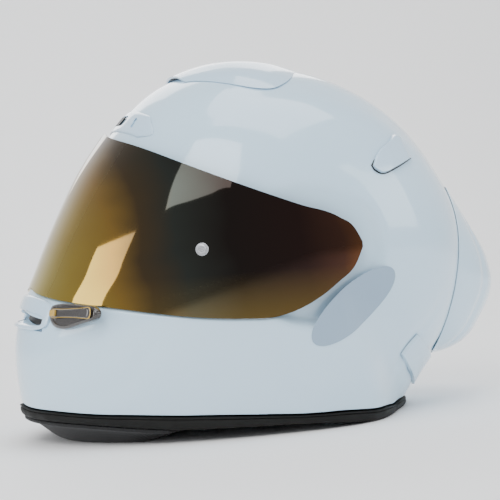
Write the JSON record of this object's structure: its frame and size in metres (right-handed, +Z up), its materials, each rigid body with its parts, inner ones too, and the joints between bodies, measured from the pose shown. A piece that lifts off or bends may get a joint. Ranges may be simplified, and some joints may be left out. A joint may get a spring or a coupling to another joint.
{
  "type": "full-face motorcycle helmet",
  "caption": "Full-face motorcycle helmet with a hinged mirrored visor, sliding vents, padded liner and D-ring chin strap.",
  "frame": {"origin": "middle of the box round the helmet, on the surface it stands on", "axes": "+Y from the chin to the back, +Z up, +X to the wearer's left; the helmet faces -Y"},
  "size_m": [0.249, 0.3593, 0.2607],
  "materials": {
    "gloss_white": "gloss",
    "rubber": "matte",
    "trim_rubber": "satin",
    "foam": "matte",
    "liner_cloth": "matte",
    "curtain_cloth": "matte",
    "iridium_visor": "mirror",
    "black_plastic": "satin",
    "clear_lens": "clear",
    "steel": "satin",
    "dark_gloss": "gloss",
    "gold_plastic": "gloss",
    "grey_blue": "gloss",
    "webbing": "woven"
  },
  "bodies": {
    "helmet": {"shell": "gloss_white", "eyeport_seal": "rubber", "lower_trim": "trim_rubber", "impact_liner": "foam", "chin_liner": "foam", "crown_pad": "liner_cloth", "cheek_pad_left": "liner_cloth", "cheek_pad_right": "liner_cloth", "neck_roll": "liner_cloth", "chin_curtain": "curtain_cloth", "breath_guard": "rubber", "base_plate_left": "black_plastic", "base_plate_right": "black_plastic", "plate_screws_left": "steel", "plate_screws_right": "steel", "lock_housing": "dark_gloss", "chin_vent_frame": "gloss_white", "chin_vent_mesh": "black_plastic", "brow_vent_cover": "gloss_white", "top_vent_cover": "gloss_white", "rear_vent_left": "gloss_white", "rear_vent_right": "gloss_white", "rear_panel_left": "gloss_white", "rear_panel_right": "gloss_white", "rear_spoiler": "gloss_white", "decal_left": "grey_blue", "decal_right": "grey_blue", "strap_left": "webbing", "strap_right": "webbing", "strap_rivet_left": "steel", "strap_rivet_right": "steel", "ring_keeper": "webbing", "strap_snap": "black_plastic"},
    "visor": {"visor": "iridium_visor", "visor_hub_left": "black_plastic", "visor_hub_right": "black_plastic", "antifog_lens": "clear_lens", "tear_off_post_left": "steel", "tear_off_post_right": "steel"},
    "lock_lever": {"lock_lever": "gold_plastic"},
    "chin_shutter": {"chin_vent_shutter": "black_plastic"},
    "brow_slider": {"brow_vent_slider": "black_plastic"},
    "top_slider": {"top_vent_slider": "black_plastic"},
    "inner_ring": {"d_ring_inner": "steel"},
    "outer_ring": {"d_ring_outer": "steel"}
  },
  "joints": [
    {"name": "visor_hinge", "type": "hinge", "parent": "helmet", "child": "visor", "pos_m": [0, 0.009, 0.1225], "axis": [-1, 0, 0], "range_deg": [0, 45]},
    {"name": "lock_lever_hinge", "type": "hinge", "parent": "helmet", "child": "lock_lever", "pos_m": [0.08756, -0.14209, 0.09279], "axis": [0.4998, -0.8408, 0.2079], "range_deg": [0, 16], "stiffness_Nm_per_rad": 0.02},
    {"name": "chin_vent_slide", "type": "slide", "parent": "helmet", "child": "chin_shutter", "axis": [0, 0, -1], "range_m": [0, 0.008]},
    {"name": "brow_vent_slide", "type": "slide", "parent": "helmet", "child": "brow_slider", "axis": [1, 0, 0], "range_m": [-0.006, 0.006]},
    {"name": "top_vent_slide", "type": "slide", "parent": "helmet", "child": "top_slider", "axis": [1, 0, 0], "range_m": [-0.003, 0.003]},
    {"name": "outer_ring_hinge", "type": "hinge", "parent": "helmet", "child": "outer_ring", "pos_m": [0.034, 0, 0.0084], "axis": [0, 1, 0], "range_deg": [0, 75]},
    {"name": "inner_ring_hinge", "type": "hinge", "parent": "helmet", "child": "inner_ring", "pos_m": [0.034, 0, 0.0033], "axis": [0, 1, 0], "range_deg": [0, 7]}
  ]
}
